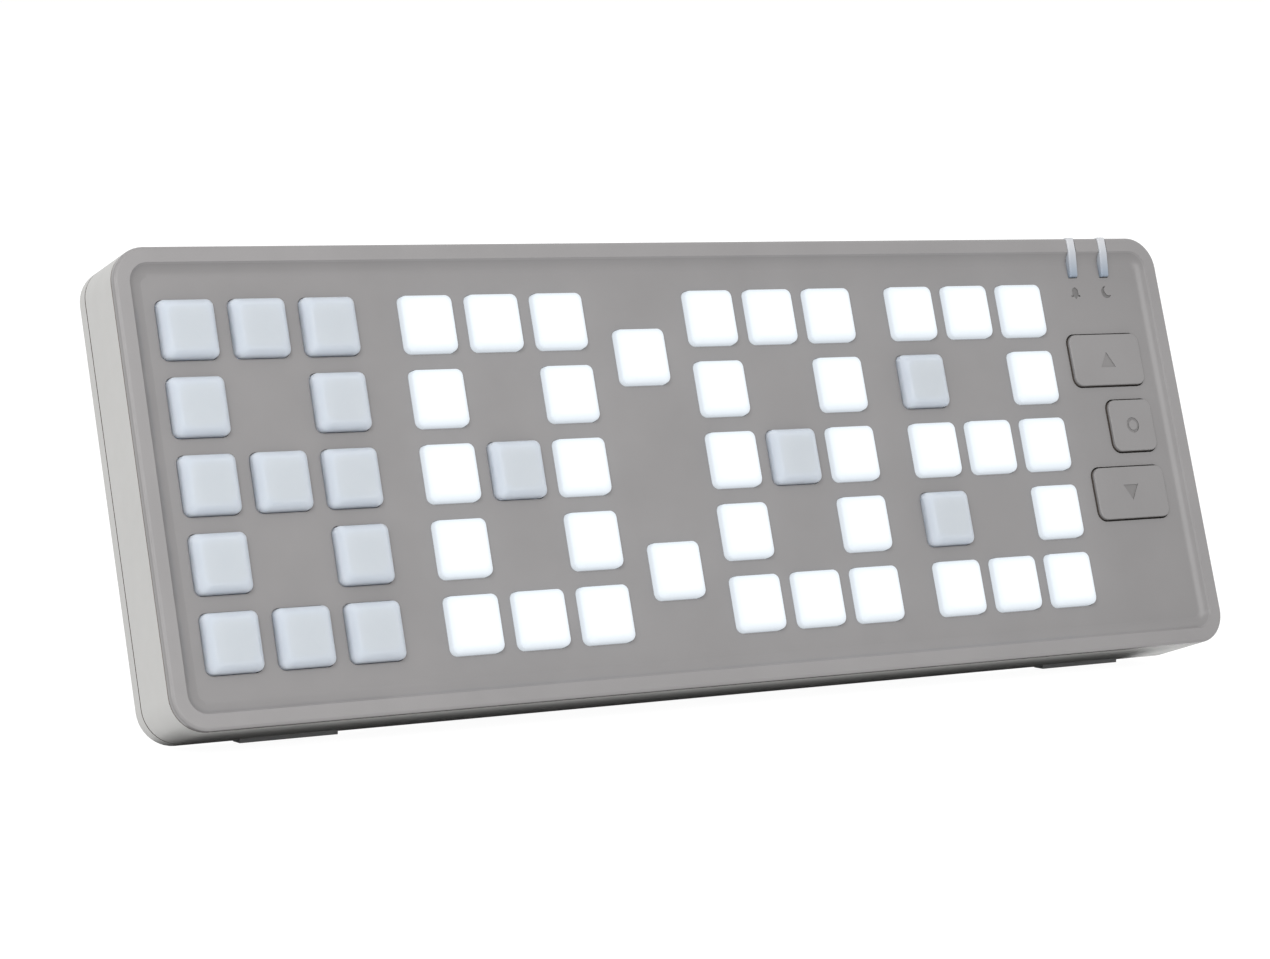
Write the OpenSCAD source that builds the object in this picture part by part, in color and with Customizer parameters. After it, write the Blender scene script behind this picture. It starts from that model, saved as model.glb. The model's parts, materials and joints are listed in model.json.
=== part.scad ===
// Digital alarm clock whose display is a grid of key caps, each lit from behind.
// The body is drawn in its own frame: X to the right, Y up the panel from its bottom edge,
// Z out of the front from the back face. It is then leaned back on its rear bottom edge and
// a rear foot, so that the floor is at Z = 0, +Z is up and the front looks along -Y.

/* [Stance] */
// Lean of the body, from upright, in degrees
lean = 17; // [12:0.5:22]
// Reach of the rear foot behind the body's rear bottom edge
foot_reach = 30; // [26:0.5:40]
// Width of the rear foot
foot_w = 110; // [100:1:112]
// Height up the back at which the foot's slope starts
foot_top = 46; // [40:0.5:60]
// Height of the foot's upright heel
heel_h = 9; // [7:0.5:12]
// Rounding under the heel
heel_r = 3; // [2.5:0.5:4]
// Rounding between the heel and the slope
crest_r = 6; // [3:0.5:10]
// Wall of the foot
foot_wall = 2; // [1.6:0.1:2.4]
// Gap under the foot, which its rest pads bridge
foot_clear = 0.8; // [0.5:0.1:1.5]
// Height of the body's rear bottom edge above the floor, on its rest pads
edge_clear = 0.3; // [0.2:0.05:0.6]

/* [Rest pads] */
// Length of a rest pad
pad_l = 18; // [12:0.5:24]
// Depth of a rest pad's seat
pad_seat = 0.9; // [0.7:0.1:1.1]
// Width of a rest pad under the body's edge
edge_pad_w = 2.6; // [2:0.1:2.8]
// Width of a rest pad under the foot
foot_pad_w = 6; // [4:0.5:8]
// Distance of that pad's middle in front of the body's lowest line
edge_pad_shift = 0.3; // [0:0.1:0.5]
// Distance from the end of the body to the middle of its rest pad
edge_pad_inset = 26; // [22:0.5:34]
// Distance from the end of the foot to the middle of its rest pad
foot_pad_inset = 15; // [14:0.5:20]
// Distance from the heel to the middle of its rest pad
foot_pad_heel = 9; // [8:0.5:11]

/* [Body] */
// Corner radius of the body, seen from the front
corner_r = 6; // [5:0.5:9]
// Wall of the side frame
wall = 2; // [1.6:0.1:2.4]
// Rounding of the rim's outer edge
front_edge_r = 0.6; // [0.3:0.1:1.1]
// Rounding of the rear cover's outer edge
rear_edge_r = 1.6; // [1.2:0.1:2]
// Height of the front cover's band, seen from the side
front_band = 1.3; // [1.25:0.05:1.6]
// Height of the rear cover's band, seen from the side
rear_band = 3.4; // [3.2:0.1:4]
// Shadow gap between the front cover and the side frame
front_seam = 0.2; // [0.1:0.05:0.4]
// Shadow gap between the side frame and the rear cover
rear_seam = 0.25; // [0.1:0.05:0.4]
// Height of the rear cover's lip inside the frame
lip_h = 1.6; // [1:0.1:2]
// Thickness of that lip
lip_t = 1.2; // [0.9:0.1:1.6]

/* [Bezel] */
// Width of the flat rim
rim_w = 2.7; // [2:0.1:3.4]
// Depth of the panel below the rim
recess_d = 1.2; // [0.9:0.1:1.25]
// Width of the coved slope from the rim to the panel
cove_run = 2.4; // [1.5:0.1:2.8]
// Corner radius of the rim's inner edge
recess_corner_r = 3.5; // [3:0.1:4.5]
// Thickness of the panel
panel_t = 2; // [1.6:0.1:2.6]

/* [Key caps] */
// Distance between neighbouring key caps of a digit
key_pitch = 13; // [12.6:0.1:14]
// Side of a key cap
key_w = 10; // [9:0.1:10.4]
// Corner radius of a key cap
key_corner_r = 1.2; // [1.1:0.1:2]
// Rounding of a key cap's upper edge
key_edge_r = 1; // [0.5:0.1:1.1]
// Height of a key cap above the panel
key_rise = 2.2; // [1.5:0.1:3]
// Width of the lip that holds a key cap behind the panel
key_lip = 0.8; // [0.6:0.1:1]
// Thickness of that lip
key_lip_t = 1; // [0.8:0.1:1.4]
// Distance between the near columns of two digits
digit_gap = 18.75; // [18:0.05:22]
// Distance from the colon to the near column of each digit beside it
colon_gap = 15.8; // [14:0.1:18]
// Height of a colon key above or below the middle row
colon_rise = 19.2; // [14:0.1:24]
// Distance from the body's left edge to the first column
side_margin = 12.1; // [12:0.1:16]
// Distance from the body's top or bottom edge to the nearest row
row_margin = 14; // [13.5:0.1:18]

/* [Buttons] */
// Width of the up and down buttons
button_w = 17; // [15:0.1:20]
// Width of the mode button
mode_w = 10.4; // [8:0.1:11]
// Height of each button
button_h = 10; // [8:0.1:10.4]
// Distance between neighbouring buttons
button_pitch = 13.05; // [12.9:0.05:14]
// Height of the mode button above the middle of the panel
button_offset = 2.9; // [0:0.1:5]
// Distance from the last column to the wide buttons' left edge
button_inset = 10.2; // [9.8:0.1:14]
// Distance from the buttons' right edge to the body's edge
button_margin = 7.6; // [7:0.1:10]
// Corner radius of a button
button_corner_r = 1.7; // [1:0.1:3]
// Rounding of a button's upper edge
button_edge_r = 0.2; // [0.2:0.1:0.8]
// Height of a button above the panel
button_rise = 0.7; // [0.65:0.05:1]
// Gap round a button
button_gap = 0.3; // [0.2:0.05:0.6]
// Width of the lip that holds a button behind the panel
button_lip = 1.2; // [0.9:0.1:1.3]
// Thickness of that lip
button_lip_t = 1; // [0.7:0.1:1.2]
// Travel of a button
button_travel = 0.6; // [0.3:0.05:0.7]
// Height of a button's mark
mark_h = 3; // [2:0.1:4]
// Depth of a mark
mark_d = 0.25; // [0.1:0.05:0.4]

/* [Indicators] */
// Width of a light pipe
pipe_w = 1.8; // [1.4:0.1:2.6]
// Distance between the two light pipes
pipe_pitch = 7.7; // [6:0.1:9]
// Distance from the body's right edge to the nearer light pipe
pipe_margin = 12.6; // [12:0.1:15]
// Length of a light pipe down the front
pipe_drop = 7.5; // [6:0.1:8.5]
// Length of a light pipe back along the top face
pipe_wrap = 6; // [4:0.1:8]
// Height of a light pipe above what it is let into
pipe_proud = 0.15; // [0.1:0.05:0.4]
// Height of a light pipe's lower end above the panel
pipe_rise = 0.6; // [0.3:0.05:0.9]
// Gap beside a light pipe
pipe_gap = 0.15; // [0.1:0.05:0.4]
// Length of a light pipe's foot above its LED
pipe_foot_l = 3; // [2:0.1:4]
// Height of an indicator's mark
icon_h = 2.4; // [1.5:0.1:3]
// Distance from the end of a light pipe to its mark
icon_drop = 3; // [2:0.1:4]

/* [Board] */
// Thickness of the circuit board
board_t = 1.6; // [1:0.1:2]
// Gap round the board
board_gap = 1; // [0.6:0.1:1.5]
// Thickness of the light baffle
baffle_t = 3.7; // [2.3:0.1:4.4]
// Width of the baffle's outer edge
baffle_edge = 1.4; // [1:0.1:1.5]
// Side of a display LED
led_w = 3; // [2:0.1:3.5]
// Height of an LED
led_h = 0.8; // [0.5:0.1:1]
// Side of a push switch
switch_w = 6; // [5:0.1:7]
// Height of a push switch
switch_h = 1.3; // [1.1:0.05:1.35]
// Thickness of a push switch under its plunger
switch_floor = 0.2; // [0.1:0.05:0.3]
// Radius of a switch plunger
plunger_r = 1.5; // [1:0.1:1.8]
// Width by which a button's stem stands round its plunger
stem_edge = 0.5; // [0.2:0.1:1]
// Space behind the board
rear_space = 4.2; // [4:0.1:6]
// Side of the clock chip
chip_w = 10; // [7:0.5:14]
// Height of a chip
chip_h = 1.4; // [1:0.1:2]
// Distance of the clock chip and the crystal to the right of the colon
chip_offset = 12; // [10:0.5:14]
// Distance of the chips below the body's top edge
chip_drop = 24; // [20:0.5:26]
// Length of a driver chip
driver_l = 12; // [8:0.5:14]
// Width of a driver chip
driver_w = 6; // [4:0.5:8]
// Length of the crystal's can
crystal_l = 8; // [5:0.5:10]
// Width of the crystal's can
crystal_w = 3.6; // [2.5:0.1:4]
// Height of the crystal's can
crystal_h = 2.4; // [1:0.1:2.8]
// Height of the crystal above the middle of the body
crystal_rise = 4; // [0:0.5:5]
// Radius of a capacitor
capacitor_r = 2.5; // [1.5:0.1:3]
// Height of a capacitor
capacitor_h = 2.8; // [2:0.1:3.2]
// Distance of the capacitors to the left of the last column
capacitor_inset = 8; // [6:0.5:10]
// Distance between the two capacitors
capacitor_pitch = 9; // [7:0.5:12]
// Radius of the buzzer
buzzer_r = 6; // [5:0.1:7]
// Height of the buzzer
buzzer_h = 3.6; // [3.3:0.1:3.7]
// Distance of the buzzer from the body's right edge
buzzer_inset = 26; // [23:0.5:28]
// Distance of the buzzer below the body's top edge
buzzer_drop = 22; // [20:0.5:26]

/* [Rear cover] */
// Thickness of the rear cover
floor_t = 2; // [1.8:0.1:2.6]
// Radius of a sound hole
sound_r = 0.7; // [0.4:0.05:1]
// Radius of the ring of sound holes
sound_ring_r = 3; // [2.5:0.1:4]
// Width of the power socket
socket_w = 9.2; // [8.6:0.1:10]
// Height of the power socket
socket_h = 3.5; // [3.2:0.1:4]
// Wall of the power socket
socket_wall = 0.4; // [0.3:0.05:0.5]
// Thickness of the power socket's tongue
tongue_t = 0.7; // [0.5:0.05:0.9]
// Distance of the power socket from the body's right edge
socket_inset = 26; // [22:0.5:30]
// Height of the power socket above the body's bottom edge
socket_y = 24; // [20:0.5:28]

/* [Backup cell] */
// Radius of the coin cell
cell_r = 10; // [8:0.1:10]
// Thickness of the coin cell
cell_t = 3.2; // [2.5:0.1:3.2]
// Distance of the coin cell from the body's left edge
cell_inset = 26; // [24:0.5:28]
// Length of the cell's contact
contact_l = 14; // [10:0.5:16]
// Width of the cell's contact
contact_w = 4; // [2:0.5:6]
// Thickness of the cell's contact
contact_t = 0.6; // [0.5:0.05:0.7]
// Length of the coin slot in the battery door
coin_slot_l = 10; // [6:0.5:14]
// Width of the coin slot in the battery door
coin_slot_w = 1.6; // [1:0.1:2.4]
// Wall of the cell holder
holder_wall = 1; // [0.8:0.1:1.2]
// Wall of the battery door's skirt
skirt_t = 0.9; // [0.7:0.1:1.2]
// Width of the battery door's outer flange, past its skirt
door_flange_w = 2; // [1.9:0.1:2.4]
// Thickness of that flange
door_flange_t = 0.9; // [0.7:0.1:1]
// Reach of a bayonet lug, past the skirt
lug_reach = 1.2; // [0.8:0.1:1.3]
// Width of a bayonet lug
lug_w = 6; // [4:0.1:8]
// Thickness of a bayonet lug
lug_t = 0.7; // [0.5:0.1:0.8]
// Turn that frees the battery door, in degrees
door_turn = 60; // [50:1:80]

/* [Fasteners] */
// Radius of a screw's thread
screw_r = 1.2; // [1:0.05:1.3]
// Radius of a screw's head
head_r = 2.3; // [2:0.1:2.4]
// Height of a screw's head
head_h = 1.2; // [0.9:0.1:1.3]
// Length of the cross in a screw's head
cross_l = 2.8; // [2:0.1:3.4]
// Width of the cross in a screw's head
cross_w = 0.5; // [0.4:0.1:0.8]
// Gap past a screw's tip
tip_gap = 0.5; // [0.2:0.1:1]
// Thickness left between a screw's hole and the panel's back
pilot_stop = 1; // [0.6:0.1:1.4]
// Radius of a screw post
post_r = 2.8; // [2.4:0.1:2.9]
// Gap between the upper right screw post and what lies beside it
post_gap = 0.5; // [0.3:0.1:0.8]
// Height of a rear screw boss above the rear cover's inside
boss_h = 2; // [1.5:0.1:2.4]
// Wall of a rear screw boss, round the screw's head
boss_wall = 1; // [0.8:0.1:1.2]
// Depth to which a case screw's head is sunk below the back
head_sink = 0.2; // [0.1:0.05:0.4]
// Height of the outer case screws above and below the middle row
post_rise = 30; // [24:0.5:30]
// Distance of the lower right case screw from the body's right edge
low_post_inset = 16; // [14:0.5:20]
// Height of the lower right case screw above the body's bottom edge
low_post_y = 12; // [10:0.5:14]
// Length of a foot screw's thread in the foot
foot_screw_l = 6; // [4:0.5:8]
// Length of a screw post in the foot
foot_post_l = 12; // [9:0.5:14]
// Distance of a foot screw from the end of the foot
foot_screw_inset = 8; // [7:0.5:10]
// Height of the lower foot screws up the back
foot_screw_low = 8; // [7:0.5:10]
// Distance of the upper foot screws below the top of the foot
foot_screw_drop = 12; // [11:0.5:14]

/* [Fits] */
// Gap round a key cap in its window
window_gap = 0.15; // [0.1:0.05:0.4]
// Gap between two shells that nest
nest_gap = 0.15; // [0.1:0.05:0.3]
// Gap between a fixed piece and the hole it passes through
pass_gap = 0.3; // [0.2:0.05:0.4]
// Gap between a moving piece and its seat
run_gap = 0.1; // [0.08:0.01:0.15]
// Gap between a screw's thread and its hole
thread_gap = 0.05; // [0.02:0.01:0.1]

/* [Hidden] */
$fn = 48;
// Length by which a cut runs past the piece that it cuts
over = 1;
// Amount by which the radius of a rounded end falls short of a full round
end_flat = 0.1;

// The time shown, a digit or a blank in each place
shown = [" ", "0", "0", "3"];
rows = 5;
columns = 3;

// Levels, from the back of the body to its front
board_back = floor_t + rear_space;
board_front = board_back + board_t;
baffle_front = board_front + baffle_t;
panel_back = baffle_front + key_lip_t;
panel_z = panel_back + panel_t;
rim_z = panel_z + recess_d;
band_z = rim_z - front_band;
frame_front = band_z - front_seam;
frame_back = rear_band + rear_seam;
boss_z = floor_t + boss_h;

// Widths and heights of the body and of what nests in it
key_span = 4 * (columns - 1) * key_pitch + 2 * digit_gap + 2 * colon_gap;
body_w = side_margin + key_span + button_inset + button_w + button_margin;
body_h = 2 * row_margin + (rows - 1) * key_pitch;
mid_y = body_h / 2;
left_x = -body_w / 2;
right_x = body_w / 2;
nest_inset = wall + nest_gap;
board_inset = wall + board_gap;
flat_inset = rim_w + cove_run;
cove_r = (cove_run * cove_run + recess_d * recess_d) / (2 * recess_d);

// Columns of the four digits, and the colon between them
digit_step = (columns - 1) * key_pitch + digit_gap;
colon_step = (columns - 1) * key_pitch + 2 * colon_gap;
first_x = left_x + side_margin;
digit_x = [
    first_x,
    first_x + digit_step,
    first_x + digit_step + colon_step,
    first_x + 2 * digit_step + colon_step
];
colon_x = digit_x[2] - colon_gap;
last_x = digit_x[3] + (columns - 1) * key_pitch;
key_reach = key_w / 2 + key_lip;

// Places of the buttons, by name, with their widths
button_right = right_x - button_margin;
mode_y = mid_y + button_offset;
up_place = [button_right - button_w / 2, mode_y + button_pitch];
mode_place = [button_right - mode_w / 2, mode_y];
down_place = [button_right - button_w / 2, mode_y - button_pitch];
button_places = [up_place, mode_place, down_place];
button_widths = [button_w, mode_w, button_w];
button_lip_z = panel_back - run_gap;
stem_z = board_front + switch_h + button_travel + run_gap;
stem_r = plunger_r + stem_edge;
plunger_z = board_front + switch_floor + button_travel + run_gap;

// Places of the light pipes
pipe_x = [right_x - pipe_margin - pipe_pitch, right_x - pipe_margin];
pipe_end_y = body_h - pipe_drop;
pipe_led_y = pipe_end_y + pipe_foot_l / 2;

// Places of the case screws, clear of the foot: between digits, where the last digit has no key,
// and below and above the buttons
gap_x = [digit_x[1] - digit_gap / 2, digit_x[3] - digit_gap / 2];
blank_place = [digit_x[3] + key_pitch, mid_y - key_pitch];
high_post_x = pipe_x[1] + pipe_w / 2 + pipe_gap + post_gap + post_r;
high_post_y = up_place[1] + button_h / 2 + button_lip + post_gap + post_r;
case_places = [
    [gap_x[0], mid_y - post_rise],
    [gap_x[0], mid_y + post_rise],
    [gap_x[1], mid_y + post_rise],
    blank_place,
    [right_x - low_post_inset, low_post_y],
    [high_post_x, high_post_y]
];
boss_r = head_r + pass_gap + boss_wall;
pilot_z = panel_back - pilot_stop;

// Places of the board screws, the last of them midway between the baffle and the mode button
baffle_right = last_x + key_reach + baffle_edge;
mode_left = mode_place[0] - mode_w / 2 - button_lip;
board_places = [
    [gap_x[0], mid_y],
    [colon_x, mid_y],
    [gap_x[1], mid_y],
    [(baffle_right + mode_left) / 2, mode_y]
];

// Places of the foot screws
foot_screw_x = foot_w / 2 - foot_screw_inset;
foot_places = [
    for (x = [-foot_screw_x, foot_screw_x])
        for (y = [foot_screw_low, foot_top - foot_screw_drop])
            [x, y]
];

// Places of the pieces on the back of the board
socket_place = [right_x - socket_inset, socket_y];
buzzer_place = [right_x - buzzer_inset, body_h - buzzer_drop];
cell_place = [left_x + cell_inset, mid_y];
chip_y = body_h - chip_drop;
chip_place = [colon_x + chip_offset, chip_y];
driver_places = [[digit_x[1], chip_y], [digit_x[2] + key_pitch, chip_y]];
crystal_place = [colon_x + chip_offset, mid_y + crystal_rise];
capacitor_x = last_x - capacitor_inset;
capacitor_places = [[capacitor_x, mid_y], [capacitor_x, mid_y + capacitor_pitch]];

// The coin cell and its door
cell_z = board_back - cell_t - contact_t;
skirt_r = cell_r + pass_gap + skirt_t;
door_r = skirt_r + door_flange_w;
lug_r = skirt_r + lug_reach;
lug_z = floor_t + run_gap;
holder_r = cell_r + pass_gap;
holder_z = lug_z + lug_t + pass_gap;

// Stance: the height that puts the rest pads on the floor, and the middle of the stance
edge_drop = rear_edge_r * (1 - cos(lean) - sin(lean));
body_z = edge_drop + edge_clear;
edge_y = rear_edge_r * (sin(lean) - cos(lean));
front_y = front_edge_r * sin(lean) - (rim_z - front_edge_r) * cos(lean) - front_edge_r;
stance_y = (front_y + foot_reach) / 2;

// Colours, as the photograph shows them
grey = [0.58, 0.57, 0.57];
light_grey = [0.81, 0.80, 0.79];
lit_white = [1, 1, 1];
dark_white = [0.82, 0.84, 0.87];
pipe_white = [0.85, 0.88, 0.94];
rubber_grey = [0.5, 0.5, 0.5];
board_green = [0.1, 0.35, 0.2];
black = [0.1, 0.1, 0.1];
steel = [0.75, 0.76, 0.78];
brass = [0.8, 0.65, 0.3];

// Key states by digit: a digit is a grid of rows of columns, with two places that have no key
function glyph(c) =
    c == "0" ? ["111", "101", "101", "101", "111"] :
    c == "1" ? ["001", "001", "001", "001", "001"] :
    c == "2" ? ["111", "001", "111", "100", "111"] :
    c == "3" ? ["111", "001", "111", "001", "111"] :
    c == "4" ? ["101", "101", "111", "001", "001"] :
    c == "5" ? ["111", "100", "111", "001", "111"] :
    c == "6" ? ["111", "100", "111", "101", "111"] :
    c == "7" ? ["111", "001", "001", "001", "001"] :
    c == "8" ? ["111", "101", "111", "101", "111"] :
    c == "9" ? ["111", "101", "111", "001", "111"] :
    ["000", "000", "000", "000", "000"];
function has_key(r, c) = !(c == 1 && (r == 1 || r == 3));
function is_lit(d, r, c) = glyph(shown[d])[r][c] == "1";
function key_place(d, r, c) = [digit_x[d] + c * key_pitch, body_h - row_margin - r * key_pitch];
function digit_places(d) = [
    for (r = [0 : rows - 1])
        for (c = [0 : columns - 1])
            if (has_key(r, c))
                key_place(d, r, c)
];
function state_places(d, lit) = [
    for (r = [0 : rows - 1])
        for (c = [0 : columns - 1])
            if (has_key(r, c) && is_lit(d, r, c) == lit)
                key_place(d, r, c)
];
colon_places = [[colon_x, mid_y + colon_rise], [colon_x, mid_y - colon_rise]];
all_keys = concat(digit_places(0), digit_places(1), digit_places(2), digit_places(3), colon_places);

function key_node(d, lit) = str("digit_", d + 1, lit ? "_lit_keys" : "_dark_keys");
key_nodes = [
    for (d = [0 : 3])
        for (lit = [true, false])
            if (len(state_places(d, lit)) > 0)
                key_node(d, lit)
];

// Placing: what is drawn in the body's frame leans back, what is drawn on the floor stays level
module leaned() translate([0, -stance_y, body_z]) rotate([90 - lean, 0, 0]) children();
module level() translate([0, -stance_y, 0]) children();
module at(places) for (p = places) translate([p[0], p[1], 0]) children();
module rod(r, z0, z1) translate([0, 0, z0]) cylinder(r = r, h = z1 - z0);
module block(w, h, z0, z1) translate([-w / 2, -h / 2, z0]) cube([w, h, z1 - z0]);

// Rectangle with round corners
module rounded_rect(w, h, r) {
    square([w - 2 * r, h], center = true);
    square([w, h - 2 * r], center = true);
    for (x = [r - w / 2, w / 2 - r])
        for (y = [r - h / 2, h / 2 - r])
            translate([x, y]) circle(r);
}
module rounded_block(w, h, r, z0, z1)
    translate([0, 0, z0]) linear_extrude(z1 - z0) rounded_rect(w, h, r);

// Outline of the body, drawn in by an inset
module body_outline(inset)
    translate([0, mid_y]) rounded_rect(body_w - 2 * inset, body_h - 2 * inset, corner_r - inset);
module body_prism(inset, z0, z1) translate([0, 0, z0]) linear_extrude(z1 - z0) body_outline(inset);

// Slab whose rounded rectangle has an edge profile, drawn from the corner's centre outwards
module profiled_slab(w, h, r, z0, z1) {
    x = w / 2 - r;
    y = h / 2 - r;
    translate([-x, -y, z0]) cube([2 * x, 2 * y, z1 - z0]);
    for (turn = [0, 180]) {
        rotate([0, 0, turn]) translate([x, y, 0]) rotate([90, 0, 0]) linear_extrude(2 * y) children();
        rotate([0, 0, turn]) translate([-x, y, 0]) rotate([90, 0, 90]) linear_extrude(2 * x) children();
        rotate([0, 0, turn]) translate([x, y, 0]) rotate_extrude(angle = 90) children();
        rotate([0, 0, turn]) translate([-x, y, 0]) rotate([0, 0, 90]) rotate_extrude(angle = 90) children();
    }
}

// Edge profile with a round at its top, and the slab that it gives
module round_top(r, z0, z1, e) {
    translate([0, z0]) square([r, z1 - z0 - e]);
    translate([0, z0]) square([r - e, z1 - z0]);
    translate([r - e, z1 - e]) intersection() {
        circle(e);
        square(e);
    }
}
module soft_slab(w, h, r, z0, z1, e) profiled_slab(w, h, r, z0, z1) round_top(r, z0, z1, e);

// Marks: an arrow, a ring, a bell and a crescent, each of unit height
module arrow_mark() polygon([[-0.6, -0.5], [0.6, -0.5], [0, 0.5]]);
module ring_mark() difference() {
    circle(0.5);
    circle(0.32);
}
module bell_mark() {
    translate([0, 0.12]) circle(0.3);
    translate([-0.3, -0.26]) square([0.6, 0.38]);
    translate([-0.46, -0.34]) square([0.92, 0.12]);
    translate([0, -0.38]) circle(0.12);
}
module crescent_mark() difference() {
    circle(0.5);
    translate([0.24, 0.14]) circle(0.42);
}
module sunk_mark(size, z) translate([0, 0, z - mark_d]) linear_extrude(mark_d + over) scale(size) children();

// The recess: a flat floor whose edge coves up to the rim
module recess() {
    r = recess_corner_r - cove_run;
    translate([0, mid_y, 0])
        profiled_slab(body_w - 2 * flat_inset, body_h - 2 * flat_inset, r, panel_z, panel_z + cove_r) {
            translate([0, panel_z]) square([r, cove_r]);
            intersection() {
                translate([r, panel_z + cove_r]) circle(cove_r);
                translate([r, panel_z]) square(cove_r);
            }
        }
}

// Slot in the front cover for a light pipe
module pipe_slots(z0, z1)
    for (x = pipe_x)
        translate([x - pipe_w / 2 - pipe_gap, pipe_end_y - pipe_gap, z0])
            cube([pipe_w + 2 * pipe_gap, pipe_drop + pipe_gap + over, z1 - z0]);

module key_windows()
    at(all_keys) rounded_block(key_w + 2 * window_gap, key_w + 2 * window_gap, key_corner_r + window_gap,
        panel_back - over, panel_z + over);

module button_windows()
    for (i = [0 : 2])
        at([button_places[i]]) rounded_block(button_widths[i] + 2 * button_gap, button_h + 2 * button_gap,
            button_corner_r + button_gap, panel_back - over, panel_z + over);

module front_cover() leaned() color(grey) difference() {
    union() {
        translate([0, mid_y, 0]) soft_slab(body_w, body_h, corner_r, band_z, rim_z, front_edge_r);
        body_prism(nest_inset, panel_back, rim_z - front_edge_r);
        at(case_places) rod(post_r, boss_z, panel_back + panel_t / 2);
        at(board_places) rod(post_r, board_front, panel_back + panel_t / 2);
    }
    recess();
    key_windows();
    button_windows();
    pipe_slots(panel_back - over, rim_z + over);
    at(case_places) rod(screw_r + thread_gap, boss_z - over, pilot_z);
    at(board_places) rod(screw_r + thread_gap, board_front - over, pilot_z);
    at([[pipe_x[0], pipe_end_y - icon_drop]]) sunk_mark(icon_h, panel_z) bell_mark();
    at([[pipe_x[1], pipe_end_y - icon_drop]]) sunk_mark(icon_h, panel_z) crescent_mark();
}

module side_frame() leaned() color(light_grey) difference() {
    body_prism(0, frame_back, frame_front);
    body_prism(wall, frame_back - over, frame_front + over);
    for (x = pipe_x)
        translate([x - pipe_w / 2 - pipe_gap, body_h - wall - over, rim_z - pipe_wrap - pipe_gap])
            cube([pipe_w + 2 * pipe_gap, wall + 2 * over, pipe_wrap]);
}

// Seat of the battery door: a sunk flange, a hole and two notches that let the lugs in
module door_seat() {
    rod(door_r + pass_gap, -over, door_flange_t + run_gap);
    rod(skirt_r + pass_gap, -over, floor_t + over);
    rotate([0, 0, door_turn]) intersection() {
        block(lug_w + 2 * pass_gap, 2 * (lug_r + over), -over, floor_t + over);
        rod(lug_r + pass_gap, -over, floor_t + over);
    }
}

module sound_holes() {
    rod(sound_r, -over, floor_t + over);
    for (turn = [0 : 60 : 300])
        rotate([0, 0, turn]) translate([sound_ring_r, 0, 0]) rod(sound_r, -over, floor_t + over);
}

// The rear cover without its holes: a tray with a lip that nests in the frame
module rear_tray() difference() {
    union() {
        translate([0, mid_y, rear_band]) mirror([0, 0, 1])
            soft_slab(body_w, body_h, corner_r, 0, rear_band, rear_edge_r);
        body_prism(nest_inset, floor_t / 2, rear_band + lip_h);
    }
    body_prism(nest_inset + lip_t, floor_t, rear_band + lip_h + over);
}

module rear_cover() color(light_grey) difference() {
    leaned() difference() {
        union() {
            rear_tray();
            at(case_places) rod(boss_r, floor_t / 2, boss_z);
        }
        at([cell_place]) door_seat();
        at([buzzer_place]) sound_holes();
        at([socket_place]) rounded_block(socket_w + 2 * pass_gap, socket_h + 2 * pass_gap,
            socket_h / 2 + pass_gap - end_flat, -over, floor_t + over);
        at(foot_places) rod(screw_r + pass_gap, -over, floor_t + over);
        at(case_places) rod(screw_r + pass_gap, -over, boss_z + over);
        at(case_places) rod(head_r + pass_gap, -over, head_sink + head_h);
    }
    edge_pad_blocks();
}

module edge_rest_pads() color(rubber_grey) edge_pad_blocks();
module edge_pad_blocks() level()
    for (x = [left_x + edge_pad_inset, right_x - edge_pad_inset])
        translate([x - pad_l / 2, edge_y - edge_pad_shift - edge_pad_w / 2, 0])
            cube([pad_l, edge_pad_w, edge_clear + pad_seat]);

// Side view of the rear foot, drawn in by an inset, from inside the body to the heel
slope_top = [foot_top * sin(lean), foot_top * cos(lean) + body_z];
slope_turn = atan2(foot_reach - slope_top[0], slope_top[1] - foot_clear - heel_h);
module foot_side(inset) {
    y = foot_reach - inset;
    z = foot_clear + inset;
    lower_r = heel_r - inset;
    upper_r = crest_r - inset;
    crest_z = foot_clear + heel_h - crest_r * tan(slope_turn / 2);
    inside_y = -foot_reach;
    tangent = [y - upper_r + upper_r * cos(slope_turn), crest_z + upper_r * sin(slope_turn)];
    polygon([
        [inside_y, z],
        [y - lower_r, z],
        [y, z + lower_r],
        [y, crest_z],
        tangent,
        [inside_y, tangent[1] + (tangent[0] - inside_y) / tan(slope_turn)]
    ]);
    translate([y - lower_r, z + lower_r]) circle(lower_r);
    translate([y - upper_r, crest_z]) circle(upper_r);
}
module foot_prism(inset)
    translate([inset - foot_w / 2, 0, 0]) rotate([90, 0, 90]) linear_extrude(foot_w - 2 * inset) foot_side(inset);
module from_back_plane() translate([0, 0, body_z]) rotate([90 - lean, 0, 0]) children();

module rear_foot() level() color(light_grey) difference() {
    union() {
        difference() {
            foot_prism(0);
            foot_prism(foot_wall);
        }
        intersection() {
            foot_prism(foot_wall / 2);
            from_back_plane() at(foot_places) rod(post_r, -foot_post_l, 0);
        }
    }
    from_back_plane() translate([-body_w / 2, -body_h, 0]) cube([body_w, 3 * body_h, 2 * body_h]);
    from_back_plane() at(foot_places) rod(screw_r + thread_gap, -foot_screw_l - over, over);
    foot_pad_blocks();
}

module foot_rest_pads() color(rubber_grey) level() foot_pad_blocks();
module foot_pad_blocks()
    for (x = [foot_pad_inset - foot_w / 2, foot_w / 2 - foot_pad_inset])
        translate([x - pad_l / 2, foot_reach - foot_pad_heel - foot_pad_w / 2, 0])
            cube([pad_l, foot_pad_w, foot_clear + pad_seat]);

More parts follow.
